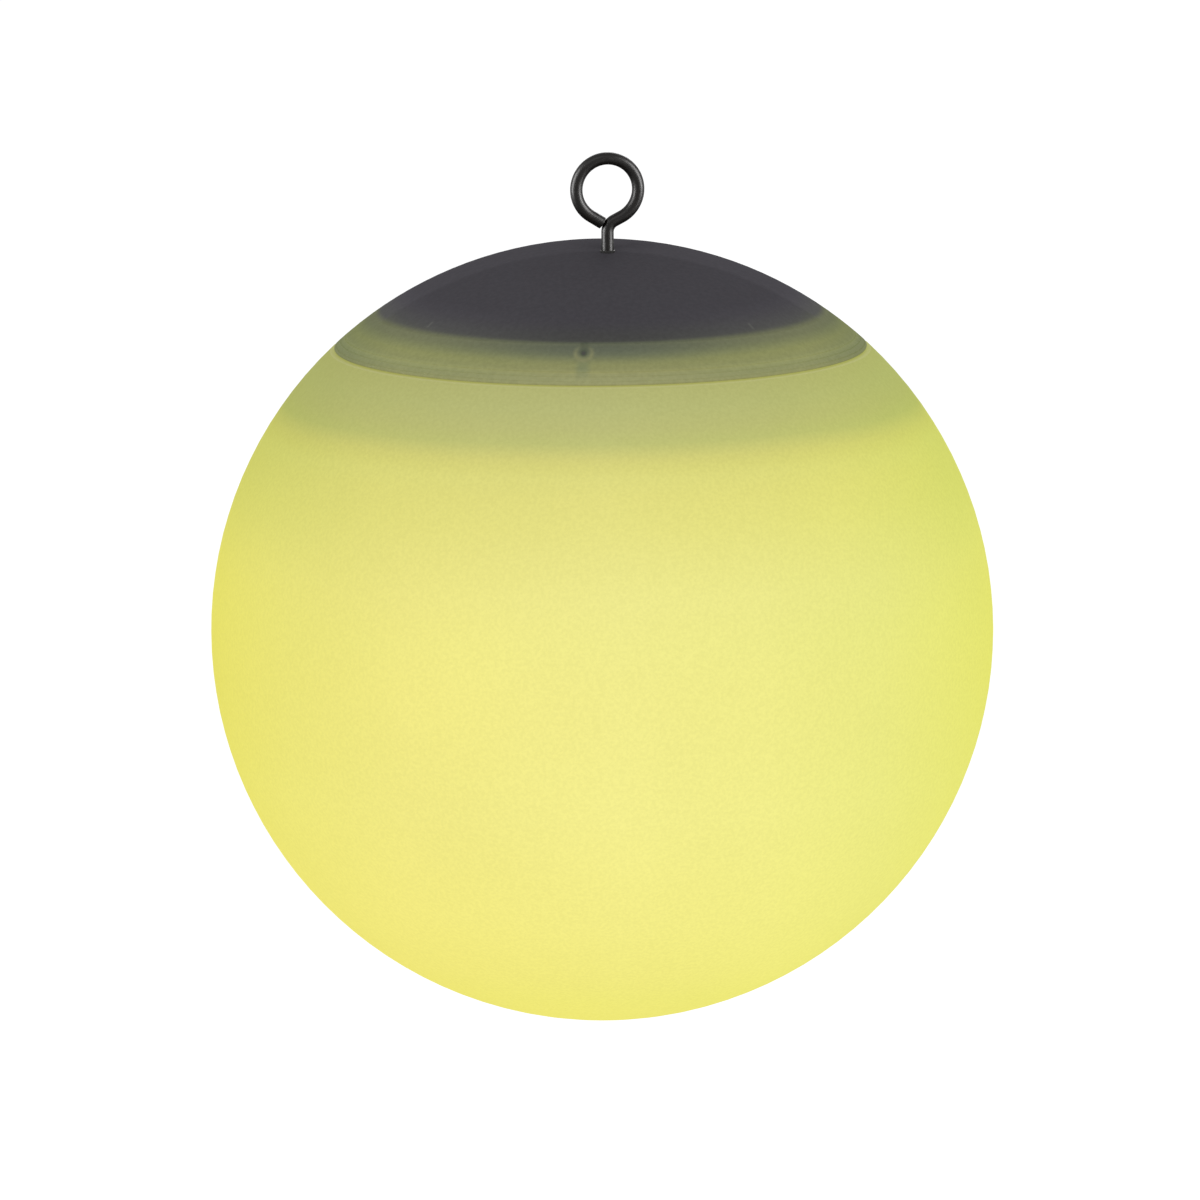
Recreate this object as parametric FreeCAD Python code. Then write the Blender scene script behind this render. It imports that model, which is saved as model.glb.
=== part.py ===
import FreeCAD, Part
import math
import os

# Solar hanging lamp: a moulded ball in two shells, hung from a bent wire eye.
# All lengths are millimetres. The model is drawn with z = 0 at the ball's middle
# and the front towards -Y, then moved so that the origin is the highest point
# inside the eye, where a hook bears.

os.makedirs("parts", exist_ok=True)

Vec = FreeCAD.Vector
UP = Vec(0, 0, 1)
MIDDLE = Vec(0, 0, 0)
FULL_TURN = 360.0

# Ball
ball_d = 250.0
ball_wall = 2.5
parting_gap = 0.4
shoulder_round = 0.5

# Eye, bent from one wire, which stands a little in front of the ball's axis
wire_d = 4.0
eye_forward = 15.0
loop_d = 20.0
loop_rise = 20.0
eye_bend_r = 3.9
right_leg_slope = 27.0
left_leg_slope = 32.0
left_leg_length = 4.35

# General clearances and overruns
slip = 0.05
seal_slip = 0.1
loose = 0.3
lug_slip = 0.4
overrun = 1.0

# Lid: bosses for its screws, the eye's boss and the fine lines on its lip
boss_count = 8
boss_from_spigot = 5.5
boss_d = 6.4
boss_first_angle = -13.5
boss_hole_below_lid = 0.35
eye_boss_d = 14.0
eye_boss_depth = 6.0
lip_line_count = 3
lip_line_top = 4.3
lip_line_pitch = 1.3
lip_line_r = 0.2

# Eye hardware
nut_across = 7.0
nut_height = 3.2
washer_d = 9.0
washer_height = 0.8
grommet_wall = 0.4
grommet_proud = 0.45
grommet_lip = 0.25

# Head base: the tray that closes the lid, with a spigot for the ball's mouth
base_plate = 2.5
base_edge_gap = 0.4
spigot_to_lid = 1.0
spigot_wall = 4.6
spigot_depth = 17.0
seal_groove_depth = 2.1
seal_groove_height = 2.8
seal_groove_drop = 1.1
wire_way_d = 6.0

# Bayonet
lug_count = 4
lug_angle = 10.0
lug_height = 3.0
entry_angle = 14.0
twist_angle = 18.0
ledge_height = 2.6
collar_gap = 0.5
collar_wall = 2.4

# Solar bezel and panel
bezel_gap = 0.6
bezel_wall = 2.0
bezel_to_boss = 0.3
bezel_frame = 1.34
bezel_to_eye = 1.8
bezel_deck = 2.0
hub_r = 44.0
hub_wall = 2.0
bezel_boss_d = 7.0
bezel_boss_to_hub = 2.5
bezel_boss_angles = (30.0, 100.0, 260.0, 330.0)
bezel_hole_depth = 8.0
panel_side = 70.0
panel_gap = 0.3
panel_board_height = 1.6
cell_height = 0.25
cell_margin = 1.5
cell_gap = 0.8
cell_columns = 2
cell_rows = 6
ribbon_width = 1.2
ribbon_height = 0.15
ribbon_shares = (0.25, 0.75)
resin_height = 0.8

# Module case under the base
case_wall = 2.0
case_flange_width = 10.0
case_flange_to_lid_screw = 8.2
case_flange_height = 2.0
case_seal_height = 1.0
case_seal_width = 5.0
case_screw_inset = 4.0
case_screw_count = 4
case_screw_first_angle = 45.0
case_screw_boss_d = 6.4
case_screw_boss_height = 4.5
floor_boss_d = 5.4

# Screws: head radius, head height, shank radius, length under the head
cross_width = 0.9
cross_depth = 0.7
cross_share = 0.68
screw_head_r = 2.8
screw_head_height = 2.0
screw_shank_r = 1.45
screw_tip = 2.0
screw_tip_r = 0.3
screw_tip_room = 0.4
bezel_screw_length = 9.0
case_screw_length = 7.0
small_head_r = 2.1
small_head_height = 1.4
small_shank_r = 1.1
small_tip = 1.2
small_tip_r = 0.25
cover_screw_length = 8.0
board_screw_length = 6.0

# Battery, its cradle, contacts and cover
battery_d = 14.5
battery_length = 49.0
nub_d = 5.5
nub_length = 1.5
battery_cover_to_led_cover = 1.75
battery_lift = 0.05
cradle_wall = 1.8
cradle_to_case = 0.7
cradle_side_gap = 0.45
cradle_top_gap = 0.35
cradle_top_wall = 1.2
cradle_to_base = 0.4
contact_sheet = 0.4
contact_bow_r = 2.6
contact_width = 5.0
contact_plate_width = 10.0
contact_plate_height = 11.0
contact_gap = 0.05
tab_width = 2.0
tab_out = 3.2
tab_from_battery = 6.0
tab_rise = 2.6
cover_plate = 2.0
cover_margin = 2.7
cover_corner = 1.5
cover_tongue = 2.3
cover_tongue_gap = 0.5
cover_seal_height = 0.9
cover_seal_width = 1.7
cover_ear_out = 5.4
cover_ear_r = 3.6
cover_boss_height = 6.0

# Circuit board and what stands on it
board_height = 1.6
board_half_x = 34.0
board_to_case = 3.9
board_back = 12.0
board_rise = 8.0
board_post_inset = 5.0
board_post_y = -4.0
board_post_d = 5.0
chip_size = (10.0, 6.0, 2.0)
chip_place = (-16.0, -8.0)
coil_r = 4.0
coil_height = 4.2
coil_place = (17.0, -20.0)
capacitor_r = 3.0
capacitor_height = 3.9
capacitor_place = (-20.0, -22.0)

# Lights under the case
led_board_r = 13.0
led_board_height = 1.6
led_r = 2.5
led_flange_r = 2.9
led_flange_height = 1.0
led_straight = 6.1
white_led_x = 6.5
led_row_y = -2.0
colour_led_y = -2.0
led_screw_x = 10.5
led_screw_y = 3.5
led_screw_length = 5.0
led_cover_r = 16.2
led_cover_wall = 1.2
led_cover_straight = 5.0
led_cover_depth = 14.0
pin_count = 4
pin_pitch = 2.54
pin_r = 0.32
pin_row_y = 8.0
pin_slot_width = 2.4

# Slide switch
switch_to_led_cover = 4.8
switch_size = (12.0, 6.0, 5.0)
switch_travel = 2.0
slider_size = (4.0, 3.0)
slider_into = 1.6
slider_out = 1.8
slider_cap = (5.6, 3.0, 0.9)
switch_leg = 0.8
switch_leg_pitch = 3.0

# Leads
lead_d = 1.2
lead_spacing = 3.0
lead_run = 4.0
lead_land_y = 9.0

# Worked out from the sizes above, from the battery outwards
ball_r = ball_d / 2
inner_r = ball_r - ball_wall
wire_r = wire_d / 2
loop_r = loop_d / 2
eye_foot = math.sqrt(ball_r ** 2 - eye_forward ** 2)
loop_middle = eye_foot + loop_rise
hang_rise = loop_middle + loop_r - wire_r
cradle_half_y = battery_d / 2 + cradle_side_gap
cradle_half_x = battery_length / 2 + nub_length / 2 + contact_gap + contact_bow_r + contact_sheet
battery_from_axis = led_cover_r + battery_cover_to_led_cover + cradle_half_y + cover_margin / 2
cradle_corner = math.hypot(cradle_half_x + cradle_wall, battery_from_axis + cradle_half_y + cradle_wall)
cover_ear_x = cradle_half_x + cradle_wall + cover_ear_out
cover_boss_reach = math.hypot(cover_ear_x, battery_from_axis) + floor_boss_d / 2
case_r = max(cradle_corner, cover_boss_reach) + cradle_to_case + case_wall
case_flange_r = case_r + case_flange_width
case_screw_circle_r = case_flange_r - case_screw_inset
boss_circle_r = case_flange_r + case_flange_to_lid_screw + screw_head_r
spigot_r = boss_circle_r + boss_from_spigot + spigot_wall
lid_low = math.sqrt(inner_r ** 2 - (spigot_r + spigot_to_lid) ** 2)
parting_rise = lid_low - parting_gap
base_low = parting_rise
base_high = base_low + base_plate
spigot_low = base_low - spigot_depth
groove_low = spigot_low + ledge_height
groove_high = groove_low + lug_height + lug_slip + lug_slip
lug_low = groove_low + lug_slip
collar_in_r = spigot_r + collar_gap
collar_out_r = collar_in_r + collar_wall
slot_floor_r = spigot_r - seal_groove_depth
seal_groove_high = base_low - seal_groove_drop
seal_groove_low = seal_groove_high - seal_groove_height
boss_hole_high = math.sqrt(inner_r ** 2 - boss_circle_r ** 2) - boss_hole_below_lid
lid_screw_length = boss_hole_high - screw_tip_room - base_low
bezel_r = inner_r - bezel_gap
bezel_edge_r = boss_circle_r - boss_d / 2 - bezel_to_boss
bezel_flat_r = (panel_side / 2 + panel_gap) * math.sqrt(2) + bezel_frame
bezel_high = math.sqrt(bezel_r ** 2 - bezel_flat_r ** 2)
bezel_boss_circle_r = hub_r - hub_wall - bezel_boss_to_hub - bezel_boss_d / 2
eye_end = bezel_high + bezel_to_eye
panel_seat = bezel_high - resin_height - ribbon_height - cell_height - panel_board_height - panel_gap
deck_low = panel_seat - bezel_deck
case_top = base_low - case_seal_height
case_low = base_low - cradle_to_base - cradle_top_wall - cradle_top_gap - battery_d - battery_lift - case_wall
floor_high = case_low + case_wall
board_low = floor_high + board_rise
board_high = board_low + board_height
board_post_x = board_half_x - board_post_inset
board_front = math.sqrt((case_r - case_wall) ** 2 - board_half_x ** 2) - board_to_case
switch_y = -(led_cover_r + switch_to_led_cover + switch_size[1] / 2)
battery_middle = floor_high + battery_lift + battery_d / 2
cradle_in_top = battery_middle + battery_d / 2 + cradle_top_gap
cradle_top = cradle_in_top + cradle_top_wall
cover_top = case_low - loose - cover_seal_height


# Drawing helpers

def at_height(radius, height):
    """A point of a circle about the ball's middle, at one height."""
    return Vec(math.sqrt(radius ** 2 - height ** 2), 0, height)


def at_radius(radius, out):
    """A point of a circle about the ball's middle, at one distance from the axis."""
    return Vec(out, 0, math.sqrt(radius ** 2 - out ** 2))


def line(start, end):
    return Part.LineSegment(start, end).toShape()


def ball_arc(start, end):
    """An arc about the ball's middle between two points of the same circle."""
    radius = start.Length
    half = start + end
    return Part.Arc(start, half.multiply(radius / half.Length), end).toShape()


def spin(edges):
    """A closed outline in the XZ plane turned about the lamp's axis."""
    face = Part.Face(Part.Wire(edges))
    return face.revolve(MIDDLE, UP, FULL_TURN)


def spin_points(points):
    corners = [Vec(out, 0, height) for out, height in points]
    return spin([line(a, b) for a, b in zip(corners, corners[1:] + corners[:1])])


def rod(radius, low, high, x=0.0, y=0.0):
    return Part.makeCylinder(radius, high - low, Vec(x, y, low))


def tube(out_r, in_r, low, high, x=0.0, y=0.0):
    return rod(out_r, low, high, x, y).cut(rod(in_r, low, high, x, y))


def block(half_x, half_y, low, high, x=0.0, y=0.0):
    corner = Vec(x - half_x, y - half_y, low)
    return Part.makeBox(half_x + half_x, half_y + half_y, high - low, corner)


def rounded_block(half_x, half_y, low, high, corner, x=0.0, y=0.0):
    shape = block(half_x, half_y, low, high, x, y)
    upright = [e for e in shape.Edges if abs(e.Vertexes[0].Z - e.Vertexes[1].Z) > (high - low) / 2]
    return shape.makeFillet(corner, upright)


def sector(in_r, out_r, low, high, middle_angle, angle):
    """Part of a ring, centred on one direction seen from above."""
    full = Part.makeCylinder(out_r, high - low, Vec(0, 0, low), UP, angle)
    core = rod(in_r, low, high)
    part = full.cut(core)
    part.rotate(MIDDLE, UP, middle_angle - angle / 2)
    return part


def around(radius, angle):
    """X and Y of a place on a circle; angle 0 is the front, towards -Y."""
    turn = math.radians(angle)
    return radius * math.sin(turn), -radius * math.cos(turn)


def hexagon(across, low, high):
    out = across / math.sqrt(3)
    turns = [math.radians(FULL_TURN * step / 6) for step in range(7)]
    ring = [Vec(out * math.cos(turn), out * math.sin(turn), low) for turn in turns]
    return Part.Face(Part.makePolygon(ring)).extrude(Vec(0, 0, high - low))


def screw(head_r, head_height, shank_r, length, tip, tip_r):
    """A pan-head screw pointing up, with the seat of its head at z = 0."""
    head = rod(head_r, -head_height, 0)
    low_rim = [e for e in head.Edges if e.Vertexes[0].Z < -head_height / 2 and e.Closed and e.Curve.TypeId
               == "Part::GeomCircle"]
    head = head.makeFillet(head_height / 3, low_rim)
    for half_x, half_y in ((head_r * cross_share, cross_width / 2), (cross_width / 2, head_r * cross_share)):
        head = head.cut(block(half_x, half_y, -head_height - overrun, cross_depth - head_height))
    shank = rod(shank_r, 0, length - tip)
    point = Part.makeCone(shank_r, tip_r, tip, Vec(0, 0, length - tip))
    return head.fuse([shank, point]).removeSplitter()


def big_screw(length):
    return screw(screw_head_r, screw_head_height, screw_shank_r, length, screw_tip, screw_tip_r)


def small_screw(length):
    return screw(small_head_r, small_head_height, small_shank_r, length, small_tip, small_tip_r)


def placed(shape, x, y, z):
    copy = shape.copy()
    copy.translate(Vec(x, y, z))
    return copy


def lead(points):
    """A thin lead along straight runs joined by tangent arcs."""
    edges = []
    start = points[0]
    for before, corner, after in zip(points, points[1:], points[2:]):
        into = (corner - before).normalize()
        away = (after - corner).normalize()
        half_turn = into.getAngle(away) / 2
        cut_back = 0.45 * min((corner - before).Length, (after - corner).Length)
        first = corner - into * cut_back
        last = corner + away * cut_back
        bend_r = cut_back / math.tan(half_turn)
        side = (away - into).normalize()
        middle = corner + side * (bend_r / math.cos(half_turn) - bend_r)
        edges.append(line(start, first))
        edges.append(Part.Arc(first, middle, last).toShape())
        start = last
    edges.append(line(start, points[-1]))
    path = Part.Wire(edges)
    ring = Part.Wire([Part.makeCircle(lead_d / 2, points[0], (points[1] - points[0]).normalize())])
    return path.makePipeShell([ring], True, False)


def save(name, shapes):
    """Write one named piece, or a group of like pieces, in the lamp's frame."""
    if not isinstance(shapes, list):
        shapes = [shapes]
    moved = [placed(shape, 0, eye_forward, -hang_rise) for shape in shapes]
    solids = [solid for shape in moved for solid in shape.Solids]
    whole = solids[0] if len(solids) == 1 else Part.makeCompound(solids)
    if not whole.isValid():
        raise ValueError(name + " is not a valid shape")
    whole.exportStep("parts/" + name + ".step")
    print(name, len(solids), round(whole.Volume))


# Ball and lid

def make_globe():
    """The lower shell, with a collar inside its mouth that carries the lugs."""
    rim_out = at_height(ball_r, parting_rise)
    collar_join = at_radius(inner_r, collar_out_r)
    collar_low = groove_low
    corner_in = Vec(collar_in_r, 0, parting_rise)
    foot_in = Vec(collar_in_r, 0, collar_low)
    foot_out = Vec(collar_out_r, 0, collar_low)
    shell = spin([
        ball_arc_low(Vec(0, 0, -ball_r), rim_out),
        line(rim_out, corner_in),
        line(corner_in, foot_in),
        line(foot_in, foot_out),
        line(foot_out, collar_join),
        ball_arc_low(collar_join, Vec(0, 0, -inner_r)),
        line(Vec(0, 0, -inner_r), Vec(0, 0, -ball_r)),
    ])
    shell = shell.makeFillet(shoulder_round, circle_edges(shell, rim_out.x, parting_rise))
    lugs = [sector(slot_floor_r + lug_slip, collar_in_r + collar_wall / 2, lug_low, lug_low + lug_height,
                   lug_place(step), lug_angle) for step in range(lug_count)]
    return shell.fuse(lugs).removeSplitter()


def ball_arc_low(start, end):
    """An arc about the ball's middle that goes round by the side, at +X."""
    radius = start.Length
    return Part.Arc(start, Vec(radius, 0, 0), end).toShape()


def circle_edges(shape, radius, height):
    near = ball_wall / 5
    return [e for e in shape.Edges if e.Closed and abs(e.Vertexes[0].Z - height) < near
            and abs(math.hypot(e.Vertexes[0].X, e.Vertexes[0].Y) - radius) < near]


def lug_place(step):
    return FULL_TURN * (step + 1 / 2) / lug_count


def boss_places():
    angles = [boss_first_angle + FULL_TURN * step / boss_count for step in range(boss_count)]
    return [around(boss_circle_r, angle) for angle in angles]


def make_lid():
    """The clear upper shell, with its screw bosses and the eye's boss inside."""
    rim_out = at_height(ball_r, lid_low)
    rim_in = at_height(inner_r, lid_low)
    top_out = Vec(0, 0, ball_r)
    top_in = Vec(0, 0, inner_r)
    dome = spin([
        ball_arc(top_out, rim_out),
        line(rim_out, rim_in),
        ball_arc(rim_in, top_in),
        line(top_in, top_out),
    ])
    dome = dome.makeFillet(shoulder_round, circle_edges(dome, rim_out.x, lid_low))
    half_wall = Part.makeSphere(ball_r - ball_wall / 2)
    bosses = [rod(boss_d / 2, base_high, ball_r, x, y).common(half_wall) for x, y in boss_places()]
    bosses.append(forward(rod(eye_boss_d / 2, inner_r - eye_boss_depth, ball_r)).common(half_wall))
    dome = dome.fuse(bosses)
    hole_r = screw_shank_r + slip
    for x, y in boss_places():
        dome = dome.cut(rod(hole_r, base_high, boss_hole_high, x, y))
    pocket_high = eye_nut_low() + nut_height
    dome = dome.cut(forward(hexagon(nut_across + slip + slip, inner_r - eye_boss_depth, pocket_high)))
    dome = dome.cut(forward(rod(grommet_out_r() + slip, pocket_high, ball_r + overrun)))
    for step in range(lip_line_count):
        height = parting_rise + lip_line_top - lip_line_pitch * step
        dome = dome.cut(Part.makeTorus(at_height(ball_r, height).x, lip_line_r, Vec(0, 0, height)))
    return dome.removeSplitter()


def make_rim_seal():
    low = seal_groove_low + loose
    high = seal_groove_high - loose
    return tube(collar_in_r - seal_slip, slot_floor_r + seal_slip, low, high)


# Eye and its hardware

def eye_nut_low():
    return inner_r - eye_boss_depth + slip


def grommet_out_r():
    return wire_r + slip + grommet_wall


def forward(shape):
    """A piece drawn on the ball's axis, moved to where the eye stands."""
    return placed(shape, 0, -eye_forward, 0)


def loop_point(angle):
    """A point of the loop's middle line, at an angle from +X."""
    turn = math.radians(angle)
    return Vec(math.cos(turn), 0, math.sin(turn)) * loop_r + UP * loop_middle


def make_eye():
    """One wire: a stem, a tight bend to the right, a leg, the loop, and a leg to the cut end."""
    right_slope = math.radians(right_leg_slope)
    left_slope = math.radians(left_leg_slope)
    right_join = loop_point(right_leg_slope - FULL_TURN / 4)
    left_join = loop_point(FULL_TURN * 3 / 4 - left_leg_slope)
    bend_end_x = eye_bend_r * (1 - math.sin(right_slope))
    bend_end = Vec(bend_end_x, 0, right_join.z - (right_join.x - bend_end_x) * math.tan(right_slope))
    bend_middle = Vec(eye_bend_r, 0, bend_end.z - eye_bend_r * math.cos(right_slope))
    stem_low = Vec(0, 0, eye_end)
    stem_top = Vec(0, 0, bend_middle.z)
    half = ((stem_top - bend_middle) + (bend_end - bend_middle)).normalize()
    cut_end = left_join + Vec(math.cos(left_slope), 0, -math.sin(left_slope)) * left_leg_length
    path = Part.Wire([
        line(stem_low, stem_top),
        Part.Arc(stem_top, bend_middle + half * eye_bend_r, bend_end).toShape(),
        line(bend_end, right_join),
        Part.Arc(right_join, loop_point(FULL_TURN / 4), left_join).toShape(),
        line(left_join, cut_end),
    ])
    section = Part.Wire([Part.makeCircle(wire_r, stem_low, UP)])
    return forward(path.makePipeShell([section], True, False))


def make_nut(low):
    """A hexagon nut with its corners turned off at both faces."""
    nut = hexagon(nut_across, low, low + nut_height)
    turned = rod(nut_across / math.sqrt(3), low, low + nut_height)
    rims = [e for e in turned.Edges if e.Closed and e.Curve.TypeId == "Part::GeomCircle"]
    turned = turned.makeChamfer(nut_height / 8, rims)
    return forward(nut.common(turned).cut(rod(wire_r + slip, low, low + nut_height)))


def make_washer():
    high = eye_nut_low()
    return forward(tube(washer_d / 2, wire_r + slip, high - washer_height, high - slip))


def make_grommet():
    low = eye_nut_low() + nut_height
    high = eye_foot + grommet_proud
    sleeve = rod(grommet_out_r(), low, high)
    top_rim = [e for e in sleeve.Edges if e.Closed and abs(e.Vertexes[0].Z - high) < grommet_wall / 2
               and e.Curve.TypeId == "Part::GeomCircle"]
    sleeve = sleeve.makeFillet(grommet_lip, top_rim)
    return forward(sleeve.cut(rod(wire_r + slip, low, high)))


# Solar bezel and panel

def bezel_boss_places():
    return [around(bezel_boss_circle_r, angle) for angle in bezel_boss_angles]


def make_bezel():
    """A black mushroom under the lid: a hub, a deck for the panel and a domed brim."""
    brim_out = at_radius(bezel_r, bezel_edge_r)
    brim_in = at_height(bezel_r - bezel_wall, brim_out.z)
    under_in = at_height(bezel_r - bezel_wall, deck_low)
    top_out = at_height(bezel_r, bezel_high)
    hub_in = hub_r - hub_wall
    corners = [
        Vec(hub_in, 0, deck_low),
        Vec(hub_in, 0, base_high),
        Vec(hub_r, 0, base_high),
        Vec(hub_r, 0, deck_low),
    ]
    body = spin([
        ball_arc(top_out, brim_out),
        line(brim_out, brim_in),
        ball_arc(brim_in, under_in),
        line(under_in, corners[3]),
        line(corners[3], corners[2]),
        line(corners[2], corners[1]),
        line(corners[1], corners[0]),
        line(corners[0], Vec(0, 0, deck_low)),
        line(Vec(0, 0, deck_low), Vec(0, 0, bezel_high)),
        line(Vec(0, 0, bezel_high), top_out),
    ])
    bosses = [rod(bezel_boss_d / 2, base_high, panel_seat, x, y) for x, y in bezel_boss_places()]
    body = body.fuse(bosses)
    half = panel_side / 2 + panel_gap
    body = body.cut(block(half, half, panel_seat, bezel_high + overrun))
    body = body.cut(rod(wire_way_d / 2, deck_low - overrun, panel_seat))
    for x, y in bezel_boss_places():
        body = body.cut(rod(screw_shank_r + slip, base_high, base_high + bezel_hole_depth, x, y))
    return body.removeSplitter()


def panel_layers():
    """Heights of the panel's board, cells, ribbons and resin."""
    board_top = panel_seat + panel_board_height
    cell_top = board_top + cell_height
    ribbon_top = cell_top + ribbon_height
    return board_top, cell_top, ribbon_top, ribbon_top + resin_height


def make_panel_board():
    half = panel_side / 2
    return block(half, half, panel_seat, panel_layers()[0])


def cell_columns_x():
    width = (panel_side - cell_margin - cell_margin - cell_gap * (cell_columns - 1)) / cell_columns
    first = -panel_side / 2 + cell_margin + width / 2
    return width, [first + (width + cell_gap) * step for step in range(cell_columns)]


def make_cells():
    board_top, cell_top, _, _ = panel_layers()
    width, columns = cell_columns_x()
    depth = (panel_side - cell_margin - cell_margin - cell_gap * (cell_rows - 1)) / cell_rows
    first = -panel_side / 2 + cell_margin + depth / 2
    rows = [first + (depth + cell_gap) * step for step in range(cell_rows)]
    return [block(width / 2, depth / 2, board_top, cell_top, x, y) for x in columns for y in rows]


def make_ribbons():
    _, cell_top, ribbon_top, _ = panel_layers()
    width, columns = cell_columns_x()
    half_y = panel_side / 2 - cell_margin
    places = [x - width / 2 + width * share for x in columns for share in ribbon_shares]
    return [block(ribbon_width / 2, half_y, cell_top, ribbon_top, x) for x in places]


def make_resin():
    _, _, ribbon_top, resin_top = panel_layers()
    half = panel_side / 2
    return rounded_block(half, half, ribbon_top, resin_top, cell_margin / 2)


# Head base

def make_base():
    """The frosted tray: a plate, a spigot with bayonet grooves and bosses for the case."""
    spigot_in = spigot_r - spigot_wall
    plate_edge = at_height(inner_r, base_high).x - base_edge_gap
    body = spin_points([
        (0, base_low), (spigot_in, base_low), (spigot_in, spigot_low), (spigot_r, spigot_low),
        (spigot_r, seal_groove_low), (slot_floor_r, seal_groove_low), (slot_floor_r, seal_groove_high),
        (spigot_r, seal_groove_high), (spigot_r, base_low), (plate_edge, base_low), (plate_edge, base_high),
        (0, base_high),
    ])
    for step in range(lug_count):
        place = lug_place(step)
        out = collar_in_r
        far_angle = twist_angle + (entry_angle + lug_angle) / 2 + (entry_angle - lug_angle) / 4
        groove_middle = place - entry_angle / 2 + far_angle / 2
        body = body.cut(sector(slot_floor_r, out, spigot_low - overrun, groove_high, place, entry_angle))
        body = body.cut(sector(slot_floor_r, out, groove_low, groove_high, groove_middle, far_angle))
    case_bosses = [rod(case_screw_boss_d / 2, base_high, base_high + case_screw_boss_height, x, y)
                   for x, y in case_screw_places()]
    body = body.fuse(case_bosses)
    clear_r = screw_shank_r + loose
    for x, y in boss_places() + bezel_boss_places():
        body = body.cut(rod(clear_r, base_low, base_high, x, y))
    for x, y in case_screw_places():
        body = body.cut(rod(screw_shank_r + slip, base_low, base_low + case_screw_length, x, y))
    return body.cut(rod(wire_way_d / 2, base_low, base_high)).removeSplitter()


def case_screw_places():
    return [around(case_screw_circle_r, case_screw_first_angle + FULL_TURN * step / case_screw_count)
            for step in range(case_screw_count)]


# Module case, its boards and lights

def make_case():
    """A round white cup that hangs under the base and holds the works."""
    in_r = case_r - case_wall
    flange_low = case_top - case_flange_height
    cup = spin_points([
        (0, case_low), (case_r, case_low), (case_r, flange_low), (case_flange_r, flange_low),
        (case_flange_r, case_top), (in_r, case_top), (in_r, floor_high), (0, floor_high),
    ])
    rim = circle_edges(cup, case_r, case_low)
    cup = cup.makeFillet(case_wall / 2, rim)
    posts = [rod(board_post_d / 2, floor_high, board_low, x, board_post_y)
             for x in (-board_post_x, board_post_x)]
    posts += [rod(floor_boss_d / 2, floor_high, floor_high + cover_boss_height, x, battery_from_axis)
              for x in (-cover_ear_x, cover_ear_x)]
    posts += [rod(floor_boss_d / 2, floor_high, floor_high + led_screw_length, x, led_screw_y)
              for x in (-led_screw_x, led_screw_x)]
    cup = cup.fuse(posts)
    hole_r = small_shank_r + slip
    for x in (-board_post_x, board_post_x):
        cup = cup.cut(rod(hole_r, board_low - board_screw_length, board_low, x, board_post_y))
    for x in (-cover_ear_x, cover_ear_x):
        cup = cup.cut(rod(hole_r, case_low, floor_high + cover_boss_height, x, battery_from_axis))
    for x in (-led_screw_x, led_screw_x):
        cup = cup.cut(rod(hole_r, case_low, case_low + led_screw_length, x, led_screw_y))
    for x, y in case_screw_places():
        cup = cup.cut(rod(screw_shank_r + loose, flange_low, case_top, x, y))
    cup = cup.cut(block(cradle_half_x, cradle_half_y, case_low, floor_high, 0, battery_from_axis))
    pin_half = pin_pitch * pin_count / 2
    cup = cup.cut(block(pin_half, pin_slot_width / 2, case_low, floor_high, 0, pin_row_y))
    slot_half_x = slider_size[0] / 2 + switch_travel + loose
    slot_half_y = slider_size[1] / 2 + loose
    cup = cup.cut(block(slot_half_x, slot_half_y, case_low, floor_high, 0, switch_y))
    return cup.removeSplitter()


def make_case_seal():
    in_r = case_r - case_wall
    ring = tube(in_r + case_seal_width, in_r, case_top, base_low)
    return ring


def make_board():
    half_y = (board_front + board_back) / 2
    board = block(board_half_x, half_y, board_low, board_high, 0, board_back - half_y)
    for x in (-board_post_x, board_post_x):
        board = board.cut(rod(small_shank_r + loose, board_low, board_high, x, board_post_y))
    return board


def make_board_parts():
    chip = block(chip_size[0] / 2, chip_size[1] / 2, board_high, board_high + chip_size[2], *chip_place)
    coil = rod(coil_r, board_high, board_high + coil_height, *coil_place)
    capacitor = rod(capacitor_r, board_high, board_high + capacitor_height, *capacitor_place)
    return [chip, coil, capacitor]


def make_led_board():
    board = rod(led_board_r, case_low - led_board_height, case_low)
    for x in (-led_screw_x, led_screw_x):
        board = board.cut(rod(small_shank_r + loose, case_low - led_board_height, case_low, x, led_screw_y))
    return board


def make_led(x, y):
    """A round lamp with its flange on the board and its dome downwards."""
    seat = case_low - led_board_height
    flange = rod(led_flange_r, seat - led_flange_height, seat, x, y)
    body = rod(led_r, seat - led_straight, seat, x, y)
    dome = Part.makeSphere(led_r, Vec(x, y, seat - led_straight))
    return flange.fuse([body, dome]).removeSplitter()


def make_led_cover():
    """A frosted cap over the lights: a short wall and a domed end."""
    low = case_low - led_cover_depth
    turn_low = case_low - led_cover_straight
    outer = cap_outline(led_cover_r, turn_low, low)
    inner = cap_outline(led_cover_r - led_cover_wall, turn_low, low + led_cover_wall)
    return outer.cut(inner)


def cap_outline(radius, turn_low, low):
    """A closed plug: a cylinder down to turn_low, then a shallow dome down to low."""
    drop = turn_low - low
    dome_r = (radius ** 2 + drop ** 2) / (drop + drop)
    dome_middle = low + dome_r
    half_angle = math.asin(radius / dome_r) / 2
    side = Vec(radius, 0, turn_low)
    mid = Vec(dome_r * math.sin(half_angle), 0, dome_middle - dome_r * math.cos(half_angle))
    foot = Vec(0, 0, low)
    top_side = Vec(radius, 0, case_low)
    top = Vec(0, 0, case_low)
    return spin([
        Part.Arc(foot, mid, side).toShape(),
        line(side, top_side),
        line(top_side, top),
        line(top, foot),
    ])


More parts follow.
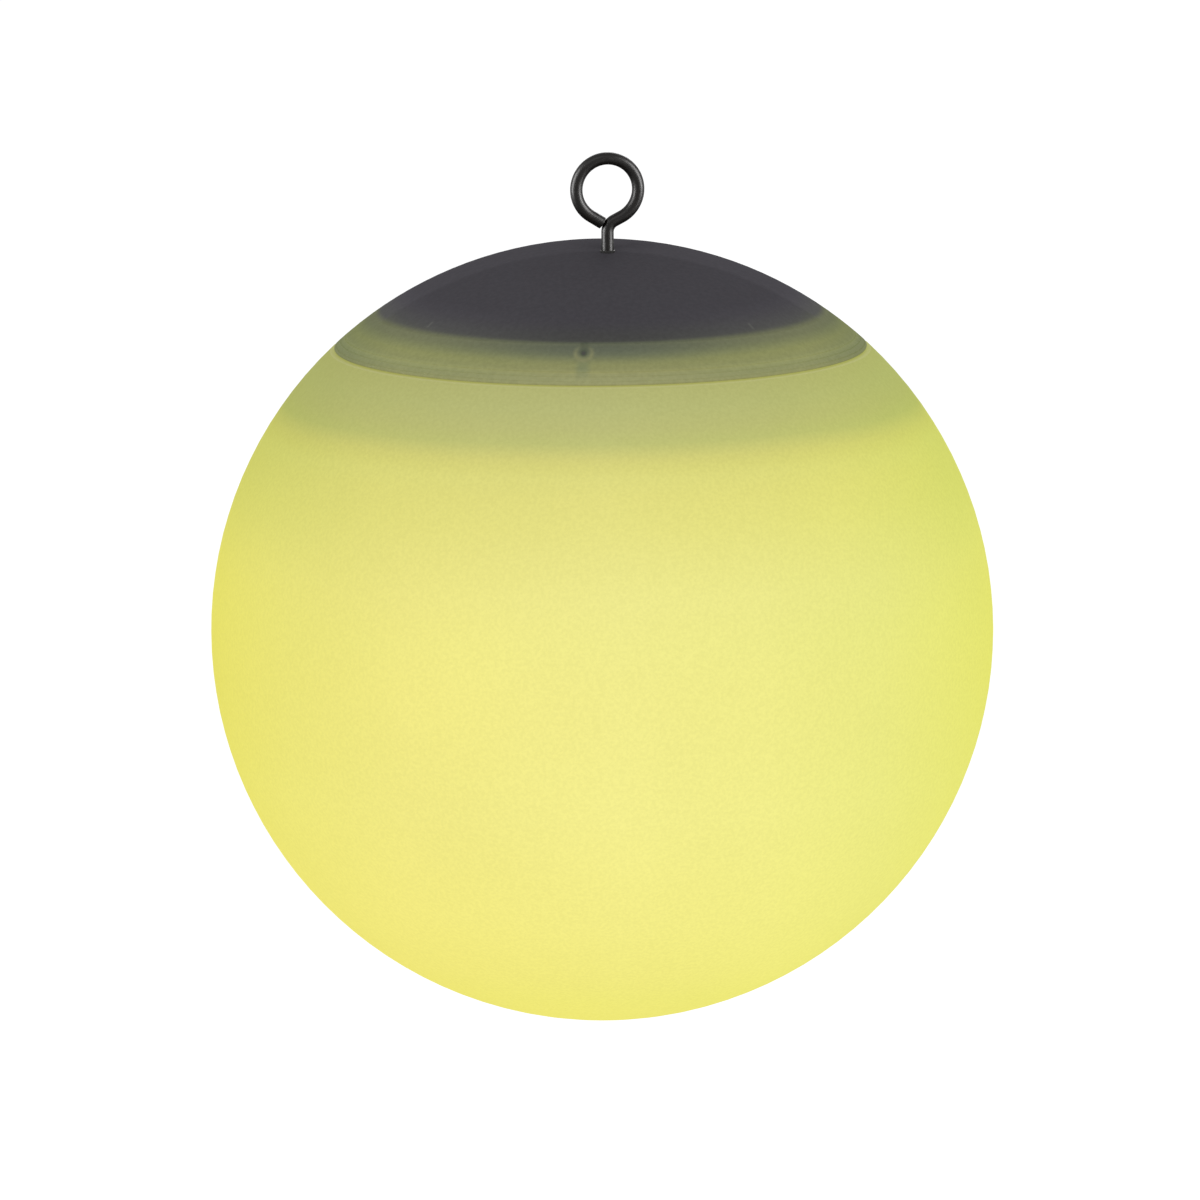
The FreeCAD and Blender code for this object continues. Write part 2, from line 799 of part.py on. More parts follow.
def make_pins():
    first = -pin_pitch * (pin_count - 1) / 2
    places = [first + pin_pitch * step for step in range(pin_count)]
    return [rod(pin_r, case_low, board_low, x, pin_row_y) for x in places]


# Battery

def make_battery():
    """A round cell lying across the case, with its nub towards +X."""
    start = -(battery_length + nub_length) / 2
    along = Vec(1, 0, 0)
    can = Part.makeCylinder(battery_d / 2, battery_length, Vec(start, battery_from_axis, battery_middle), along)
    ends = [e for e in can.Edges if e.Closed and e.Curve.TypeId == "Part::GeomCircle"]
    can = can.makeFillet(battery_d / 20, ends)
    nub_start = Vec(start + battery_length, battery_from_axis, battery_middle)
    return can.fuse(Part.makeCylinder(nub_d / 2, nub_length, nub_start, along)).removeSplitter()


def tab_height():
    return battery_middle + tab_rise


def make_cradle():
    """An upturned trough over the cell, with a slot at each end for a contact's tab."""
    outer = block(cradle_half_x + cradle_wall, cradle_half_y + cradle_wall, floor_high, cradle_top,
                  0, battery_from_axis)
    inner = block(cradle_half_x, cradle_half_y, floor_high, cradle_in_top, 0, battery_from_axis)
    body = outer.cut(inner)
    tab_y = battery_from_axis - tab_from_battery
    reach = cradle_half_x + cradle_wall + overrun
    slot_low = tab_height() - slip
    slot_high = tab_height() + contact_sheet + slip
    return body.cut(block(reach, tab_width / 2 + slip, slot_low, slot_high, 0, tab_y))


def make_contact(side):
    """A plate on the cradle's end wall, a sprung bow towards the cell and a solder tab."""
    wall_x = cradle_half_x
    plate_face = wall_x - contact_sheet
    half_plate = contact_plate_width / 2
    tab_y = battery_from_axis - tab_from_battery
    plate_y = (tab_y - tab_width / 2 + battery_from_axis + half_plate) / 2
    half_y = battery_from_axis + half_plate - plate_y
    middle_x = (plate_face + wall_x) / 2
    low = battery_middle - contact_plate_height / 2
    high = battery_middle + contact_plate_height / 2
    plate = block(contact_sheet / 2, half_y, low, high, middle_x, plate_y)
    bow_start = Vec(plate_face, battery_from_axis - contact_width / 2, battery_middle)
    across = Vec(0, 1, 0)
    bow = Part.makeCylinder(contact_bow_r, contact_width, bow_start, across)
    bow = bow.cut(Part.makeCylinder(contact_bow_r - contact_sheet, contact_width, bow_start, across))
    near_half = block(contact_bow_r, contact_width, low, high, plate_face - contact_bow_r + contact_sheet / 2,
                      battery_from_axis)
    bow = bow.common(near_half)
    tab_half = (tab_out + contact_sheet) / 2
    tab = block(tab_half, tab_width / 2, tab_height(), tab_height() + contact_sheet,
                plate_face + tab_half, tab_y)
    shape = plate.fuse([bow, tab]).removeSplitter()
    if side < 0:
        shape = shape.mirror(MIDDLE, Vec(1, 0, 0))
    return shape


def make_cover():
    """The battery cover: a plate with two ears and a tongue that fills the hatch."""
    half_x = cradle_half_x + cover_margin
    half_y = cradle_half_y + cover_margin / 2
    y = battery_from_axis
    low = cover_top - cover_plate
    plate = rounded_block(half_x, half_y, low, cover_top, cover_corner, 0, y)
    ears = [rod(cover_ear_r, low, cover_top, x, y) for x in (-cover_ear_x, cover_ear_x)]
    bridges = block(cover_ear_x, cover_ear_r, low, cover_top, 0, y)
    tongue = rounded_block(cradle_half_x - cover_tongue_gap, cradle_half_y - cover_tongue_gap, cover_top,
                           cover_top + cover_seal_height + cover_tongue, cover_corner, 0, y)
    body = plate.fuse(ears + [bridges, tongue])
    for x in (-cover_ear_x, cover_ear_x):
        body = body.cut(rod(small_shank_r + slip, low, cover_top, x, y))
    return body.removeSplitter()


def make_cover_seal():
    y = battery_from_axis
    high = cover_top + cover_seal_height
    half_x = cradle_half_x + cover_seal_width
    half_y = cradle_half_y + cover_margin / 2 - slip
    outer = rounded_block(half_x, half_y, cover_top, high, cover_corner, 0, y)
    return outer.cut(block(cradle_half_x - slip, cradle_half_y - slip, cover_top, high, 0, y))


# Switch

def make_switch_body():
    """The switch's can: open below for the slider, with three legs up to the board."""
    can = block(switch_size[0] / 2, switch_size[1] / 2, floor_high, floor_high + switch_size[2], 0, switch_y)
    room_x = slider_size[0] / 2 + switch_travel + loose
    room_y = slider_size[1] / 2 + loose
    can = can.cut(block(room_x, room_y, floor_high, floor_high + slider_into + loose, 0, switch_y))
    legs = [block(switch_leg / 2, switch_leg / 2, floor_high + switch_size[2], board_low,
                  switch_leg_pitch * step, switch_y) for step in (-1, 0, 1)]
    return can.fuse(legs).removeSplitter()


def make_switch_slider():
    """The knob: a stem through the case's slot and a cap to push with a fingertip."""
    low = case_low - slider_out
    cap_low = low
    cap_high = low + slider_cap[2]
    stem = block(slider_size[0] / 2, slider_size[1] / 2, cap_high, floor_high + slider_into, 0, switch_y)
    cap = block(slider_cap[0] / 2, slider_cap[1] / 2, cap_low, cap_high, 0, switch_y)
    long_edges = [e for e in cap.Edges if abs(e.Vertexes[0].Y - e.Vertexes[1].Y) > slider_cap[1] / 2
                  and e.Vertexes[0].Z < (cap_low + cap_high) / 2]
    cap = cap.makeFillet(slider_cap[2] / 2, long_edges)
    return stem.fuse(cap).removeSplitter()


# Leads

def make_panel_leads():
    """Two leads from the panel's underside down through the base to the board."""
    leads = []
    for x in (-lead_spacing / 2, lead_spacing / 2):
        start = Vec(x, 0, panel_seat)
        knee = Vec(x, 0, board_high + lead_run)
        bend = Vec(x, -lead_run, board_high + lead_run / 2 + lead_run / 4)
        leads.append(lead([start, knee, bend, Vec(x, -lead_run, board_high)]))
    return leads


def make_battery_leads():
    """One lead from each contact's tab, over and down to the board."""
    tab_y = battery_from_axis - tab_from_battery
    start_z = tab_height() + contact_sheet
    tab_x = cradle_half_x + cradle_wall + (tab_out - cradle_wall) / 2
    leads = []
    for x in (-tab_x, tab_x):
        points = [Vec(x, tab_y, start_z), Vec(x, tab_y, start_z + lead_run / 2),
                  Vec(x, lead_land_y, start_z + lead_run / 2), Vec(x, lead_land_y, board_high)]
        leads.append(lead(points))
    return leads


# Every piece

save("globe", make_globe())
save("lid", make_lid())
save("rim_seal", make_rim_seal())
save("eye", make_eye())
save("eye_nut", make_nut(eye_nut_low()))
save("eye_washer", make_washer())
save("eye_lock_nut", make_nut(eye_nut_low() - washer_height - nut_height))
save("eye_grommet", make_grommet())
save("solar_bezel", make_bezel())
save("panel_board", make_panel_board())
save("solar_cells", make_cells())
save("cell_ribbons", make_ribbons())
save("panel_resin", make_resin())
save("head_base", make_base())
save("lid_screws", [placed(big_screw(lid_screw_length), x, y, base_low) for x, y in boss_places()])
save("bezel_screws", [placed(big_screw(bezel_screw_length), x, y, base_low)
                      for x, y in bezel_boss_places()])
save("module_case", make_case())
save("case_seal", make_case_seal())
case_flange_low = case_top - case_flange_height
save("case_screws", [placed(big_screw(case_screw_length), x, y, case_flange_low)
                     for x, y in case_screw_places()])
save("circuit_board", make_board())
save("board_parts", make_board_parts())
board_screw = small_screw(board_screw_length)
board_screw.rotate(MIDDLE, Vec(1, 0, 0), FULL_TURN / 2)
save("board_screws", [placed(board_screw, x, board_post_y, board_high)
                      for x in (-board_post_x, board_post_x)])
save("led_board", make_led_board())
led_seat = case_low - led_board_height
save("led_board_screws", [placed(small_screw(led_screw_length), x, led_screw_y, led_seat)
                          for x in (-led_screw_x, led_screw_x)])
save("white_leds", [make_led(x, led_row_y) for x in (-white_led_x, white_led_x)])
save("colour_led", make_led(0, colour_led_y))
save("led_cover", make_led_cover())
save("led_pins", make_pins())
save("battery", make_battery())
save("battery_cradle", make_cradle())
save("battery_contacts", [make_contact(side) for side in (-1, 1)])
save("battery_cover", make_cover())
save("battery_cover_seal", make_cover_seal())
cover_low = cover_top - cover_plate
save("battery_cover_screws", [placed(small_screw(cover_screw_length), x, battery_from_axis, cover_low)
                              for x in (-cover_ear_x, cover_ear_x)])
save("switch_body", make_switch_body())
save("switch_slider", make_switch_slider())
save("panel_leads", make_panel_leads())
save("battery_leads", make_battery_leads())
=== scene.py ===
import math

import bpy
from mathutils import Matrix, Vector


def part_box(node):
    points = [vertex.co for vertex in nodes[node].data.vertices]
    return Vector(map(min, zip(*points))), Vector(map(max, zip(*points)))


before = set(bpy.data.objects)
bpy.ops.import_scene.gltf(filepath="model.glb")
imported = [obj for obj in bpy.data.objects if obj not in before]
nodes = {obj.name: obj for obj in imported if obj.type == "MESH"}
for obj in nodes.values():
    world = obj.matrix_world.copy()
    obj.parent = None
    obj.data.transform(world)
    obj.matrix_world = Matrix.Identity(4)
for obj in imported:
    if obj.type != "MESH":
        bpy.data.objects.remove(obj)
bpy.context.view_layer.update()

# Solar hanging lamp: finishes, floor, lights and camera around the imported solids.
# Lengths are metres, and noise scales are per metre. The origin is where the hook bears,
# and the front is towards -Y. Heights and places across are given in ball radii.

mm = 0.001

# The ball, read from the globe's box
globe_low, globe_high = (Vector(corner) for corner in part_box("globe"))
ball_r = (globe_high.x - globe_low.x) / 2
axis_x = (globe_high.x + globe_low.x) / 2
axis_y = (globe_high.y + globe_low.y) / 2
ball_middle = Vector((axis_x, axis_y, globe_low.z + ball_r))
lid_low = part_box("lid")[0][2]

# Camera: the photograph's frame, in its own pixels, through a long lens
photo_size = 1200
photo_ball_x = 602.3
photo_ball_y = 629.5
photo_ball_r = 391.0
camera_turn = math.radians(-9.4)
camera_elevation = math.radians(8.5)
camera_roll = math.radians(0.35)
camera_distance = 15.0
camera_reach = 200.0
sensor = 36.0

# Floor and light: a white diffuse face towards the camera is lit to about plain_light
floor_drop = 0.42
floor_half = 60.0
floor_shadow_share = 0.15
floor_glow = 1.14
floor_base = 0.9
floor_roughness = 0.9
floor_gloss = 0.1
white = (1.0, 1.0, 1.0)
black = (0.0, 0.0, 0.0)
world_strength = 0.60
plain_light = 0.95

# Lights: name, turn from the camera's side and elevation in degrees, distance, width,
# height, and the share of white to which they light a white face turned to them
soft_lights = (
    ("left_light", -72, -2, 2.8, 0.35, 1.3, 0.34),
    ("right_light", 68, -2, 2.8, 0.35, 1.3, 0.30),
    ("high_light", -10, 50, 3.0, 1.4, 1.4, 0.24),
    ("back_light", 168, 25, 3.0, 1.4, 1.4, 0.34),
)
gloss_lights = (
    ("left_gloss", -74, 8, 2.8, 1.6, 3.0, 5.5),
    ("right_gloss", 68, 8, 2.8, 1.6, 3.0, 5.5),
)

# What the opal plastic and the lid's skirt send back of that light; the rest is their glow
opal_base = (0.12, 0.12, 0.11)
skirt_base = (0.08, 0.08, 0.07)


def linear(red, green, blue):
    """A colour given as 8-bit screen values, in the linear values that shaders use."""
    def one(value):
        value = value / 255
        return value / 12.92 if value <= 0.04045 else ((value + 0.055) / 1.055) ** 2.4
    return one(red), one(green), one(blue)


# Shader helpers

class Tree:
    """A small builder for one material's nodes."""

    def __init__(self, name):
        self.material = bpy.data.materials.new(name)
        self.material.use_nodes = True
        self.tree = self.material.node_tree
        self.shader = self.tree.nodes["Principled BSDF"]
        self.coords = self.node("ShaderNodeTexCoord").outputs["Object"]

    def node(self, kind, **settings):
        made = self.tree.nodes.new(kind)
        for name, value in settings.items():
            setattr(made, name, value)
        return made

    def join(self, source, target):
        self.tree.links.new(source, target)

    def put(self, value, target):
        """Give a socket a number, a colour or another node's output."""
        if isinstance(value, bpy.types.NodeSocket):
            self.join(value, target)
        elif isinstance(value, tuple) and len(value) == 3 and target.type == "RGBA":
            target.default_value = (*value, 1.0)
        else:
            target.default_value = value

    def set(self, **values):
        """Set the shader's inputs, named with _ for each space."""
        for name, value in values.items():
            self.put(value, self.shader.inputs[name.replace("_", " ")])

    def math(self, operation, first, second=0.0):
        made = self.node("ShaderNodeMath", operation=operation)
        self.put(first, made.inputs[0])
        self.put(second, made.inputs[1])
        return made.outputs[0]

    def plus(self, first, second):
        return self.math("ADD", first, second)

    def minus(self, first, second):
        return self.math("SUBTRACT", first, second)

    def times(self, first, second):
        return self.math("MULTIPLY", first, second)

    def rest(self, value):
        """What is left of 1."""
        return self.math("SUBTRACT", 1.0, value)

    def span(self, first, second):
        """The length of a line with these two parts."""
        return self.math("SQRT", self.plus(self.times(first, first), self.times(second, second)))

    def smooth(self, value, low, high):
        """0 below low, 1 above high, and a smooth rise between."""
        made = self.node("ShaderNodeMapRange", interpolation_type="SMOOTHSTEP")
        self.put(value, made.inputs["Value"])
        self.put(low, made.inputs["From Min"])
        self.put(high, made.inputs["From Max"])
        return made.outputs["Result"]

    def rescale(self, value, low, high, to_low, to_high):
        made = self.node("ShaderNodeMapRange")
        self.put(value, made.inputs["Value"])
        made.inputs["From Min"].default_value = low
        made.inputs["From Max"].default_value = high
        made.inputs["To Min"].default_value = to_low
        made.inputs["To Max"].default_value = to_high
        return made.outputs["Result"]

    def mix(self, factor, first, second, blend="MIX"):
        made = self.node("ShaderNodeMix", data_type="RGBA", blend_type=blend)
        self.put(factor, made.inputs[0])
        self.put(first, made.inputs[6])
        self.put(second, made.inputs[7])
        return made.outputs[2]

    def tinted(self, colour, tint):
        return self.mix(1.0, colour, tint, "MULTIPLY")

    def ramp(self, value, stops):
        made = self.node("ShaderNodeValToRGB")
        first, *others, last = stops
        ends = made.color_ramp.elements
        ends[0].position, ends[0].color = first[0], (*first[1], 1.0)
        ends[1].position, ends[1].color = last[0], (*last[1], 1.0)
        for place, colour in others:
            ends.new(place).color = (*colour, 1.0)
        self.join(value, made.inputs[0])
        return made.outputs["Color"]

    def noise(self, scale, detail=2.0, roughness=0.5):
        made = self.node("ShaderNodeTexNoise")
        self.join(self.coords, made.inputs["Vector"])
        made.inputs["Scale"].default_value = scale
        made.inputs["Detail"].default_value = detail
        made.inputs["Roughness"].default_value = roughness
        return made.outputs["Fac"]

    def wander(self, scale, detail, low, high):
        """Noise that wanders between low and high."""
        return self.rescale(self.noise(scale, detail), 0.3, 0.7, low, high)

    def speckle(self, scale, strength, roughness=0.5):
        """Fine noise around 1, by up to strength."""
        fine = self.noise(scale, 2.0, roughness)
        return self.rescale(fine, 0.35, 0.65, 1 - strength, 1 + strength)

    def bump(self, height, strength, distance):
        made = self.node("ShaderNodeBump")
        made.inputs["Strength"].default_value = strength
        made.inputs["Distance"].default_value = distance
        self.join(height, made.inputs["Height"])
        self.join(made.outputs["Normal"], self.shader.inputs["Normal"])

    def axes(self):
        """Distances from the ball's axis to the right and to the back, and the height."""
        split = self.node("ShaderNodeSeparateXYZ")
        self.join(self.coords, split.inputs[0])
        right = self.minus(split.outputs[0], axis_x)
        back = self.minus(split.outputs[1], axis_y)
        return right, back, split.outputs[2]

    def height(self, up):
        """Height above the ball's middle: -1 at the bottom, 1 at the top."""
        return self.math("DIVIDE", self.minus(up, ball_middle.z), ball_r)

    def across(self, right, back):
        """Place across the side that the photograph shows: -1 at its left, 1 at its right."""
        turned = self.plus(self.times(right, math.cos(camera_turn)),
                           self.times(back, math.sin(camera_turn)))
        return self.math("DIVIDE", turned, ball_r)

    def by_height(self, height, stops):
        """Screen colours by height."""
        place = self.times(self.plus(height, 1.0), 0.5)
        return self.ramp(place, [((level + 1) / 2, linear(*colour)) for level, colour in stops])

    def by_side(self, across, stops):
        """Tints by the place across."""
        place = self.rescale(across, -1.0, 1.0, 0.0, 1.0)
        return self.ramp(place, [((side + 1) / 2, tint) for side, tint in stops])

    def glow(self, seen, base):
        """Light to give out so that, with what the base colour sends back, seen is met."""
        own = tuple(part * plain_light for part in base)
        left = self.mix(1.0, seen, own, "SUBTRACT")
        left.node.clamp_result = True
        return left


def dress(material, *names):
    """Give every slot of these nodes one material."""
    for name in names:
        mesh = nodes[name].data
        for index in range(len(mesh.materials)):
            mesh.materials[index] = material
        if not mesh.materials:
            mesh.materials.append(material)


# Globe

globe_stops = (
    (-1.00, (240, 233, 120)), (-0.90, (241, 235, 124)), (-0.81, (243, 236, 130)),
    (-0.65, (244, 237, 136)), (-0.35, (244, 238, 142)), (-0.03, (243, 237, 141)),
    (0.10, (241, 236, 141)), (0.22, (238, 233, 141)), (0.32, (233, 228, 136)),
    (0.393, (229, 224, 131)), (0.465, (225, 220, 128)), (0.512, (221, 217, 127)),
    (0.536, (216, 212, 123)), (0.555, (211, 207, 122)), (0.571, (203, 201, 121)),
    (0.594, (190, 192, 119)), (0.629, (186, 187, 120)), (0.674, (182, 184, 120)),
    (0.73, (177, 178, 115)),
)
# Tints across the side seen from the front, for the body and the shoulder: painted shade, darker
# and yellower towards both outlines, and greener at the right
body_tints = (
    (-1.0, (0.88, 0.87, 0.50)), (-0.8, (0.92, 0.91, 0.67)), (-0.5, (0.97, 0.95, 0.84)),
    (-0.2, (0.99, 0.98, 0.94)), (0.05, (1.0, 1.0, 1.0)), (0.4, (0.98, 0.995, 0.96)),
    (0.7, (0.92, 0.96, 0.84)), (1.0, (0.87, 0.92, 0.60)),
)
shoulder_tints = (
    (-1.0, (0.76, 0.82, 0.58)), (-0.8, (0.85, 0.885, 0.71)), (-0.6, (0.93, 0.94, 0.83)),
    (-0.3, (0.98, 0.98, 0.95)), (0.0, (1.0, 1.0, 1.0)), (0.4, (0.99, 1.0, 0.93)),
    (0.6, (0.985, 1.01, 0.86)), (0.8, (0.92, 0.985, 0.745)), (1.0, (0.80, 0.92, 0.62)),
)
shoulder_start = 0.15
shoulder_full = 0.52
# Along the parting gap under the lid: painted shade, the glow set to a darker, browner share of
# the seen colour
seam_share = (0.82, 0.81, 0.60)
seam_start = 0.72 * mm
seam_full = 0.48 * mm


def opal_plastic():
    """Moulded opal plastic lit from inside, in shade above the level of the lights.

    The glow grows darker and yellower towards both sides seen from the front, as painted shade,
    and greener at the right and in the shoulder.
    """
    level_wander = 0.004
    cloud_strength = 0.015
    speck_strength = 0.025
    tree = Tree("opal_plastic")
    right, back, up = tree.axes()
    height = tree.height(up)
    across = tree.across(right, back)
    level = tree.plus(height, tree.wander(9.0, 1.0, -level_wander, level_wander))
    seen = tree.by_height(level, globe_stops)
    shoulder = tree.smooth(height, shoulder_start, shoulder_full)
    tint = tree.mix(shoulder, tree.by_side(across, body_tints),
                    tree.by_side(across, shoulder_tints))
    seen = tree.tinted(seen, tint)
    cloud = tree.wander(14.0, 3.0, 1 - cloud_strength, 1 + cloud_strength)
    speck = tree.speckle(900.0, speck_strength, 0.6)
    seen = tree.tinted(seen, tree.times(cloud, speck))
    # Painted shade along the parting gap under the lid
    seam = tree.smooth(up, lid_low - seam_start, lid_low - seam_full)
    glow = tree.mix(seam, tree.glow(seen, opal_base), tree.tinted(seen, seam_share))
    tree.set(Base_Color=tree.tinted(opal_base, speck), Roughness=0.6, Specular_IOR_Level=0.0)
    tree.set(Emission_Color=glow, Emission_Strength=1.0)
    tree.bump(tree.plus(tree.noise(1400.0), tree.noise(160.0)), 0.06, 0.4 * mm)
    return tree.material


# Lid: the skirt's colours by height, in front and at the sides, a painted glow of the light from
# below that darkens towards the bezel's edge as painted shade, and the dark part's tones

bezel_edge_height = 0.8225
skirt_stops = (
    (0.7262, (149, 147, 103)), (0.7300, (151, 152, 108)), (0.7410, (152, 153, 109)),
    (0.7515, (147, 148, 105)), (0.7555, (158, 157, 107)), (0.7600, (141, 142, 98)),
    (0.7760, (138, 140, 95)), (0.7840, (126, 129, 92)), (0.7920, (112, 117, 90)),
    (0.8000, (101, 106, 88)), (0.8140, (95, 99, 84)), (0.8200, (98, 102, 84)),
)
side_skirt_stops = (
    (0.7262, (145, 144, 99)), (0.7300, (145, 147, 101)), (0.7410, (141, 144, 101)),
    (0.7520, (142, 146, 101)), (0.7570, (149, 152, 103)), (0.7640, (139, 142, 96)),
    (0.7800, (139, 142, 93)), (0.7920, (128, 132, 92)), (0.8000, (120, 124, 90)),
    (0.8080, (114, 117, 89)), (0.8200, (115, 118, 90)),
)
side_start = 0.02
side_full = 0.5
# Painted shade on the skirt towards both outlines seen from the front
limb_full = 0.7
limb_shade_tint = (0.76, 0.80, 0.86)
dark_base = (0.0695, 0.066, 0.0745)
# Over the bezel: painted light, a lighter tone at its edge and, near the edge, at the sides
lit_edge_base = (0.0735, 0.0735, 0.070)
edge_fade = 0.05
edge_blur_front = 0.004
edge_blur_side = 0.008
side_light_lift = 0.32
side_light_lift_fade = 0.07

# The screw bosses painted on the lid where the line of sight to each boss crosses it: the boss's
# wall as a ring of painted light from below, its screw as a core and bar of painted shade, a
# painted shade streak below it, and painted glints beside the side bosses
boss_count = 8
boss_first = math.radians(-13.5)
boss_out_r = 3.2 * mm
boss_seen_r = 74.85 * mm
screw_r = 1.45 * mm
bezel_seen_r = 69.0 * mm
mark_soft = 0.7 * mm
mark_full = 0.12
mark_gone = 0.32
ring_wall_in = 0.6 * mm
lit_ring_colour = linear(134, 134, 98)
ring_share_high = 0.1
ring_share_low = 0.75
core_out = 0.2 * mm
core_seen_r = 0.9 * mm
core_shade_colour = linear(58, 62, 52)
core_share = 0.75
stem_shade_colour = linear(74, 80, 66)
stem_share = 0.5
shade_half = 2.2 * mm
shade_end = 7.6 * mm
shade_colour = linear(68, 98, 96)
shade_share = 0.26
glint_start = 67.0 * mm
glint_end = 69.4 * mm
glint_half = 0.55 * mm
glint_aside = 4.3 * mm
glint_colour = (0.22, 0.22, 0.19)
glint_share = 0.2
glint_near = 0.3
glint_far = 0.36

# How opaque the lid is, by how it faces the eye: 0 square on, 1 edge on
square_on_haze = 0.42
leaning_facing = 0.25
leaning_haze = 0.84
grazing_facing = 0.5
grazing_haze = 0.96
closing_facing = 0.6
closed_facing = 0.76
skirt_haze = 0.97


class BossMarks:
    """Where a point of the lid lies from the nearest boss, along and across the way outwards."""

    def __init__(self, tree, right, back):
        self.tree = tree
        angle = tree.math("ARCTAN2", right, tree.times(back, -1.0))
        step = 2 * math.pi / boss_count
        turned = tree.plus(angle, step / 2 - boss_first + 2 * math.pi)
        local = tree.minus(tree.math("MODULO", turned, step), step / 2)
        radius = tree.span(right, back)
        self.along = tree.times(radius, tree.math("COSINE", local))
        self.across = tree.times(radius, tree.math("SINE", local))

    def distance(self, circle_r):
        return self.tree.span(self.tree.minus(self.along, circle_r), self.across)

    def beyond(self, distance, radius):
        return self.tree.smooth(distance, radius - mark_soft, radius + mark_soft)

    def ring(self, circle_r, inner_r, outer_r):
        distance = self.distance(circle_r)
        return self.tree.minus(self.beyond(distance, inner_r), self.beyond(distance, outer_r))

    def core(self, circle_r, core_r):
        return self.tree.rest(self.beyond(self.distance(circle_r), core_r))

    def streak(self, start, end, half_width, aside=0.0):
        """A soft bar that runs outwards from start to end, beside the middle line by aside."""
        tree = self.tree
        from_middle = tree.math("ABSOLUTE", tree.minus(self.across, aside))
        bar = tree.rest(tree.smooth(from_middle, half_width * 0.3, half_width * 1.5))
        begun = tree.smooth(self.along, start - half_width, start + half_width)
        ended = tree.smooth(self.along, end - half_width, end + half_width)
        return tree.times(bar, tree.minus(begun, ended))


def lit_skirt(tree, marks, height, aside, side):
    """The skirt's seen colour: a painted glow with painted shade towards the outlines, and the
    boss in front painted in light and shade.
    """
    limb = tree.smooth(aside, side_full, limb_full)
    skirt = tree.mix(side, tree.by_height(height, skirt_stops),
                     tree.by_height(height, side_skirt_stops))
    skirt = tree.mix(limb, skirt, tree.tinted(skirt, limb_shade_tint))
    near = tree.rest(tree.smooth(aside, mark_full, mark_gone))
    core_seen = boss_seen_r + core_out
    low = tree.smooth(marks.along, boss_seen_r - boss_out_r, boss_seen_r + screw_r)
    ring = tree.times(marks.ring(boss_seen_r, screw_r + ring_wall_in, boss_out_r),
                      tree.rescale(low, 0.0, 1.0, ring_share_high, ring_share_low))
    shade = marks.streak(boss_seen_r + boss_out_r, boss_seen_r + shade_end, shade_half)
    stem = marks.streak(bezel_seen_r, core_seen, screw_r)
    core = marks.core(core_seen, core_seen_r)
    for mark, share, colour in ((shade, shade_share, shade_colour), (ring, 1.0, lit_ring_colour),
                                (stem, stem_share, stem_shade_colour), (core, core_share, core_shade_colour)):
        skirt = tree.mix(tree.times(mark, tree.times(near, share)), skirt, colour)
    return skirt


def dark_tone(tree, marks, height, across, aside, side):
    """The lid's tone over the bezel, with painted light a little lighter at its edge and at the
    sides, and painted glints beside the side bosses.
    """
    tone = tree.mix(tree.smooth(height, bezel_edge_height, bezel_edge_height + edge_fade),
                    lit_edge_base, dark_base)
    high = tree.smooth(height, bezel_edge_height, bezel_edge_height + side_light_lift_fade)
    lift = tree.times(side, tree.rescale(tree.rest(high), 0.0, 1.0, 0.0, side_light_lift))
    tone = tree.tinted(tone, tree.plus(1.0, lift))
    left, right = (marks.streak(glint_start, glint_end, glint_half, way * glint_aside)
                   for way in (-1, 1))
    glint = tree.mix(tree.math("GREATER_THAN", across, 0.0), left, right)
    glint = tree.times(glint, tree.smooth(aside, glint_near, glint_far))
    return tree.mix(tree.times(glint, glint_share), tone, glint_colour)


def lid_haze(tree, over_bezel):
    """The lid is clearest seen square on, and closed towards its outline and on its skirt."""
    weight = tree.node("ShaderNodeLayerWeight")
    weight.inputs["Blend"].default_value = 0.5
    facing = weight.outputs["Facing"]
    square_on = tree.rescale(facing, 0.0, leaning_facing, square_on_haze, leaning_haze)
    grazing = tree.rescale(facing, leaning_facing, grazing_facing, leaning_haze, grazing_haze)
    outline = tree.rescale(facing, closing_facing, closed_facing, 0.0, 1.0)
    haze = tree.math("MAXIMUM", outline, tree.math("MINIMUM", grazing, square_on))
    return tree.math("MAXIMUM", haze, tree.minus(skirt_haze, over_bezel))


def smoky_plastic():
    """Hazy grey plastic: dark over the bezel, and around it a painted glow of the light from
    below, with painted shade and painted highlights.
    """
    speck_strength = 0.05
    tree = Tree("smoky_plastic")
    right, back, up = tree.axes()
    height = tree.height(up)
    across = tree.across(right, back)
    aside = tree.math("ABSOLUTE", across)
    side = tree.smooth(aside, side_start, side_full)
    marks = BossMarks(tree, right, back)
    blur = tree.rescale(side, 0.0, 1.0, edge_blur_front, edge_blur_side)
    over_bezel = tree.smooth(height, tree.minus(bezel_edge_height, blur),
                             tree.plus(bezel_edge_height, blur))
    speck = tree.speckle(700.0, speck_strength, 0.6)
    skirt = tree.tinted(lit_skirt(tree, marks, height, aside, side), speck)
    tone = tree.tinted(dark_tone(tree, marks, height, across, aside, side), speck)
    tree.set(Base_Color=tree.mix(over_bezel, skirt_base, tone))
    tree.set(Emission_Color=tree.mix(over_bezel, tree.glow(skirt, skirt_base), black))
    tree.set(Emission_Strength=1.0, Roughness=0.6, Specular_IOR_Level=0.0)
    tree.set(Alpha=lid_haze(tree, over_bezel))
    tree.bump(tree.noise(1200.0), 0.04, 0.3 * mm)
    return tree.material


# Other plastics, metals and small parts

def plain_plastic(name, colour, roughness, grain_scale=900.0, grain=0.05, gloss=0.4):
    """Moulded plastic with a fine grain and a little unevenness in tone and gloss."""
    tree = Tree(name)
    tree.set(Base_Color=tree.tinted(linear(*colour), tree.wander(60.0, 3.0, 0.95, 1.04)))
    tree.set(Roughness=tree.wander(140.0, 2.0, roughness - 0.04, roughness + 0.05))
    tree.set(Specular_IOR_Level=gloss)
    tree.bump(tree.noise(grain_scale), grain, 0.3 * mm)
    return tree.material


